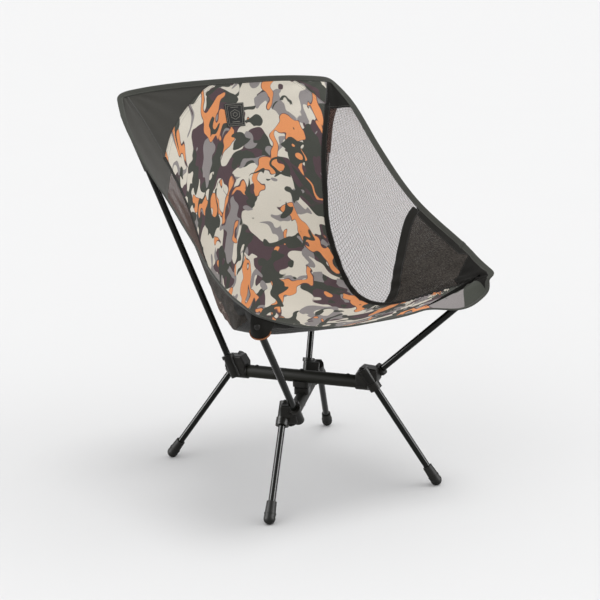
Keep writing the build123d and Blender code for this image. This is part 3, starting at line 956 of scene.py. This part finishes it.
# the furthest v of its seam, its mouth's millimetres past the pole's end, its girth and its swelling
POUCHES = {"front_left": (0.974, -22.0, 0.70, 0.0), "front_right": (1.0, -18.5, 1.0, 0.06)}
POUCH_MOUTH = (15.5, 12.5)
POUCH_RINGS, POUCH_SIDES = 24, 64
# the mouth band's rings: millimetres along the pole, and share of the mouth
MOUTH_BAND = ((0.3, 0.97), (-1.7, 0.98), (-2.5, 1.02), (-1.7, 1.06), (1.1, 1.05))
# a rear sleeve's ends along the pole, in millimetres past the pole's end
SLEEVE_ENDS = (-106, 9)
# its outer seam's distance from the wing's seam, in millimetres: at its mouth, and what that gains by its top
SLEEVES = {"rear_left": (15, 22), "rear_right": (26, 16)}


def sign_of(name):
    return 1 if "left" in name else -1


def pole_end(name):
    """The end and the direction of a corner's upright."""
    sx, sy = sign_of(name), (-1 if "front" in name else 1)
    drop = 0 if name in ("front_left", "rear_right") else BAR_DROP
    turn = math.radians(BAR_ANGLE)
    out = np.array((sx * math.sin(turn), sy * math.cos(turn), 0))
    hub = out * HUB_REACH + np.array((0, 0, HUB_Z - drop)) - np.array((out[1], -out[0], 0)) * UP_SIDE
    x, y, z = TIPS[name.split("_")[0]]
    tip = np.array((sx * x, y, z))
    return tip * MM, unit(tip - hub)


def ring_of(line, count):
    """A closed line as that many points, evenly spaced."""
    closed = np.concatenate([line, line[:1]])
    return even(closed, run_along(closed)[-1] / count)[0][:count]


def by_angle(ring, centre, e1, e2, turn):
    """A ring again, with its points at the given angles round the centre."""
    angle = np.arctan2((ring - centre) @ e2, (ring - centre) @ e1)
    order = np.argsort(angle)
    wrapped = np.concatenate([angle[order] + lap * 2 * np.pi for lap in (-1, 0, 1)])
    return np.stack([np.interp(turn, wrapped, np.tile(ring[order][:, k], 3)) for k in range(3)], 1)


def tube_sheet(name, rings, thick, material, stands_for):
    """Rings of points, first to last, made into a closed sleeve of cloth."""
    points = np.concatenate([rings, rings[:, :1]], 1)
    along = np.gradient(points, axis=0)
    around = np.gradient(points, axis=1)
    around[:, 0] = around[:, -1] = points[:, 1] - points[:, -2]
    normals = unit(np.cross(around, along))
    centre = points[:, :-1].mean(1, keepdims=True)
    if ((points - centre) * normals).sum(2).mean() < 0:
        normals = -normals
    shell(name, points, normals, thick, [material], stands_for)


def front_pouch(name):
    """A pouch that hangs from the lip and the wing over the pole's end, with a band round its mouth."""
    sign = sign_of(name)
    tip, axis = pole_end(name)
    deepest, sink, size, swelling = POUCHES[name]
    e1 = unit(np.cross(axis, (0, 0, 1.0)))
    e2 = np.cross(axis, e1)
    turn = np.linspace(-np.pi, np.pi, POUCH_SIDES, endpoint=False)
    top = cloth(sign * POUCH_SEAM[:, 0], np.minimum(POUCH_SEAM[:, 1], deepest), -1.2 * MM)
    top = by_angle(ring_of(top, 96), tip, e1, e2, turn)
    wide, deep = POUCH_MOUTH
    disc = (np.cos(turn)[:, None] * e1 * wide + np.sin(turn)[:, None] * e2 * deep) * size

    def mouth(along, share):
        return tip + axis * (sink + along) * MM + disc * share * MM

    shares = np.linspace(0, 1, POUCH_RINGS)[:, None, None]
    rings = mouth(0, 0.96) * (1 - shares**0.9) + top * shares**0.9
    uneven = 1 + 0.5 * np.sin(turn * 5 + sign)[None, :, None]
    centre = rings.mean(1, keepdims=True)
    rings = centre + (rings - centre) * (1 + swelling * np.sin(np.pi * shares) * uneven)
    tube_sheet(f"{name}_sleeve", rings, 0.8 * MM, BLACK, [f"{name}_pocket"])
    band = np.array([mouth(along, share) for along, share in MOUTH_BAND])
    tube_sheet(f"{name}_mouth_band", band, 0.6 * MM, AMBER, ["front_pocket_trims"])


def sleeve_ring(name, at, s):
    """The sleeve s metres past the pole's end: from the wing's seam over the pole to the wing, all at v = at."""
    sign = sign_of(name)
    tip, axis = pole_end(name)
    first, last = SLEEVE_ENDS
    share = (s / MM - first) / (last - first)
    least, gain = SLEEVES[name]
    reach = min(0.95, (least + gain * share**3) * MM / wing_width(at))
    a, b = cloth(sign * 0.985, at, -0.8 * MM), cloth(sign * (1 + reach), at, -0.8 * MM)
    e1 = unit(b - a - axis * ((b - a) @ axis))
    e2 = unit(np.cross(axis, e1))
    if e2 @ normal(sign * 1.15, at) > 0:
        e2 = -e2
    arc = np.linspace(0.12, 0.88, 19)[:, None] * np.pi
    over = tip + axis * s + (6.9 + 0.8 * share) * MM * (np.sin(arc) * e2 - np.cos(arc) * e1)
    closing = 0.6 * step(-3 * MM, 10 * MM, s)
    over = over * (1 - closing) + (a + (b - a) * np.linspace(0.3, 0.8, 19)[:, None]) * closing
    left = a + (over[0] - a) * np.linspace(0, 1, 9)[:-1, None] ** 0.9
    right = over[-1] + (b - over[-1]) * np.linspace(0, 1, 9)[1:, None] ** 1.1
    return np.concatenate([left, over, right])


def rear_sleeve(name):
    """A channel of cloth behind the wing, from its seam over the pole, hemmed at its mouth."""
    tip, axis = pole_end(name)
    v = np.linspace(0.0, 0.30, 400)
    height = (surface(sign_of(name) * 1.1, v) - tip) @ axis
    rings = []
    for s in np.linspace(*SLEEVE_ENDS, 44) * MM:
        rings.append(sleeve_ring(name, np.interp(0, (height - s)[::-1], v[::-1]), s))
    rings = np.array(rings)
    normals = unit(np.cross(np.gradient(rings, axis=0), np.gradient(rings, axis=1)))
    if ((rings - (tip - axis * 50 * MM)) * normals).sum(2).mean() < 0:
        normals = -normals
    materials = [CHARCOAL_BACK, BLACK]
    shell(f"{name}_sleeve", rings, normals, 0.8 * MM, materials, [f"{name}_pocket"])
    for k in (2, 5):
        rows["grey"].append(stitch_row(rings[k] + normals[k] * 0.5 * MM, normals[k]))


# ---------------------------------------------------------------- label on the back

LABEL_HALF, LABEL_TOP, LABEL_LOW = 0.105, 0.080, 0.146


def label_uv(x, y):
    """x and y run from -1 to 1 over the label."""
    return x * LABEL_HALF, LABEL_TOP + (LABEL_LOW - LABEL_TOP) * (y + 1) / 2


def label_place(a, b):
    return label_uv(2 * a - 1, 2 * b - 1)


def label_lift(a, b):
    """The label lies over the cloth, with its edges pressed down."""
    return (0.45 + 0.7 * (1 - step(0.96, 1.0, np.maximum(np.abs(2 * a - 1), np.abs(2 * b - 1))))) * MM


def on_label(x, y):
    return on_cloth(*label_uv(x, y), 1.35 * MM)


def back_label():
    """A woven label with a plain ornament of frames, hexagons and bars."""
    points, normals = region(label_place, 40, 40, label_lift)
    shell("back_label", points, normals, 0.5 * MM, [PATCH], ["back_patch"])
    t = np.linspace(-1, 1, 24)
    one = np.ones(len(t))
    x, y = np.concatenate([t, one, -t, -one]), np.concatenate([-one, t, one, -t])
    printed = []
    for wide, tall, half in ((0.90, 0.91, 0.35), (0.72, 0.77, 0.3)):
        printed.append(rib(*on_label(x * wide, y * tall), half * MM, 0.12 * MM))
    corners = np.radians(np.arange(0, 361, 60))
    at = np.linspace(0, 6, 61)
    for size in (0.52, 0.24):
        hex_x = np.interp(at, range(7), np.sin(corners) * size)
        hex_y = np.interp(at, range(7), np.cos(corners) * size * 0.82)
        printed.append(rib(*on_label(hex_x, hex_y), 0.4 * MM, 0.12 * MM))
    for height in (-0.62, 0.62):
        printed.append(rib(*on_label(t * 0.4, one * height), 0.5 * MM, 0.12 * MM))
    join_rows("label_print", printed, MARK)
    rows["grey"].append(stitch_row(*on_label(x * 0.97, y * 0.97), 2.2 * MM, 1.7 * MM, 0.28 * MM))


# ---------------------------------------------------------------- the scene

make_camera()
make_light()
make_floor()
paint_frame()

sling_panels()
for side, sign in (("left", 1), ("right", -1)):
    wing_panels(side, sign)
    seam_tape(side, sign)
    net_tape(side, sign)
    rim_tape(side, sign)
    gusset_stitches(side, sign)
edge_tape()
for name in ("front_left", "front_right"):
    front_pouch(name)
for name in ("rear_left", "rear_right"):
    rear_sleeve(name)
back_label()
edge_tape_lap()
join_rows("grey_stitches", rows["grey"], THREAD)
join_rows("dark_stitches", rows["dark"], DARK_THREAD)

scene = bpy.context.scene
scene.view_settings.view_transform = "Standard"
scene.cycles.transparent_max_bounces = 16
